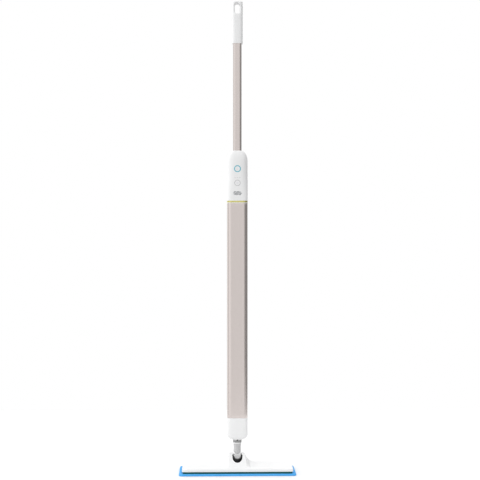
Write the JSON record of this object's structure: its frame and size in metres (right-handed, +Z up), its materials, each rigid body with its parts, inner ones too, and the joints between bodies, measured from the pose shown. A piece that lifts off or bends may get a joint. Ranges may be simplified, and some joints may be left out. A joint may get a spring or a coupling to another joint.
{
  "type": "steam mop",
  "caption": "Slim upright steam mop: flat pad head on a universal joint, flat metal steam body with a control pod, and a plug-in handle with a hanging slot.",
  "frame": {"origin": "on the floor under the middle of the pad, with the mop standing upright", "axes": "+Z up along the body and handle, -Y out of the face with the buttons, +X to the right as that face is looked at"},
  "size_m": [0.295, 0.115, 1.2],
  "materials": {
    "white_plastic": "white moulded plastic with a soft gloss",
    "champagne_metal": "satin anodised warm champagne grey",
    "lime_band": "yellow-green metallic band",
    "light_guide": "cyan light guide",
    "button_trim": "pale grey ring",
    "mark_grey": "dark grey inlay",
    "grey_plastic": "mid grey moulded nylon",
    "light_grey_plastic": "light grey moulded nylon",
    "black_rubber": "black rubber and nylon",
    "teal_plastic": "dark teal base plate",
    "blue_microfibre": "sky blue looped microfibre",
    "hook_tape": "hook tape",
    "steel": "zinc plated steel",
    "cast_aluminium": "as cast",
    "copper": "copper tube",
    "clear_plastic": "clear blue tinted tank",
    "circuit_board": "green solder mask"
  },
  "bodies": {
    "head": {"head_shell": "white_plastic", "head_base": "teal_plastic", "steam_manifold": "grey_plastic", "hook_strips": "hook_tape", "head_screws": "steel", "mop_pad": "blue_microfibre", "socket_liner": "black_rubber", "pitch_pins": "steel"},
    "knuckle": {"knuckle": "light_grey_plastic", "roll_pin": "steel"},
    "body": {"grip": "white_plastic", "grip_screw": "steel", "handle_tube": "champagne_metal", "tube_insert": "grey_plastic", "release_spring": "steel", "pod_front_shell": "white_plastic", "pod_rear_shell": "white_plastic", "pod_screws": "steel", "power_light_ring": "light_guide", "steam_ring": "button_trim", "indicator_lights": "button_trim", "badge": "mark_grey", "control_board": "circuit_board", "button_switches": "black_rubber", "cord_gland": "grey_plastic", "hook_pivot_screw": "steel", "accent_band": "lime_band", "band_trim": "white_plastic", "body_tube": "champagne_metal", "water_tank": "clear_plastic", "filler_neck": "white_plastic", "filler_hinge_pin": "steel", "suction_tube": "light_grey_plastic", "pump": "grey_plastic", "pump_mounts": "black_rubber", "feed_tube": "light_grey_plastic", "boiler": "cast_aluminium", "boiler_heater": "copper", "boiler_clamps": "steel", "thermostat": "light_grey_plastic", "steam_pipe": "copper", "wire_loom": "black_rubber", "lower_cord_hook": "white_plastic", "lower_cap": "white_plastic", "cap_screws": "steel", "catch_spring": "steel", "neck_collar": "grey_plastic", "collar_ring": "light_grey_plastic", "neck": "light_grey_plastic", "neck_hose": "grey_plastic"},
    "power_button": {"power_button": "white_plastic"},
    "steam_button": {"steam_button": "white_plastic"},
    "release_button": {"release_button": "white_plastic"},
    "filler_cap": {"filler_cap": "white_plastic", "filler_seal": "black_rubber"},
    "upper_hook": {"upper_cord_hook": "white_plastic"},
    "neck_catch": {"neck_catch": "mark_grey"}
  },
  "joints": [
    {"name": "head_pitch", "type": "hinge", "parent": "head", "child": "knuckle", "pos_m": [0, 0, 0.0425], "axis": [1, 0, 0], "range_deg": [-70, 70]},
    {"name": "neck_roll", "type": "hinge", "parent": "knuckle", "child": "body", "pos_m": [0, 0, 0.057], "axis": [0, 1, 0], "range_deg": [-40, 40]},
    {"name": "power_press", "type": "slide", "parent": "body", "child": "power_button", "axis": [0, 1, 0], "range_m": [0, 0.0008], "stiffness_N_per_m": 900},
    {"name": "steam_press", "type": "slide", "parent": "body", "child": "steam_button", "axis": [0, 1, 0], "range_m": [0, 0.0008], "stiffness_N_per_m": 900},
    {"name": "release_press", "type": "slide", "parent": "body", "child": "release_button", "axis": [0, -1, 0], "range_m": [0, 0.0025], "stiffness_N_per_m": 900, "springref_m": -0.002, "deforming": ["release_spring"]},
    {"name": "filler_open", "type": "hinge", "parent": "body", "child": "filler_cap", "pos_m": [0, 0.0274, 0.614], "axis": [-1, 0, 0], "range_deg": [0, 110]},
    {"name": "hook_turn", "type": "hinge", "parent": "body", "child": "upper_hook", "pos_m": [0, 0.023, 0.716], "axis": [0, 1, 0], "range_deg": [0, 180]},
    {"name": "catch_press", "type": "slide", "parent": "body", "child": "neck_catch", "axis": [0, 1, 0], "range_m": [0, 0.0015], "stiffness_N_per_m": 900, "springref_m": -0.002, "deforming": ["catch_spring"]}
  ]
}
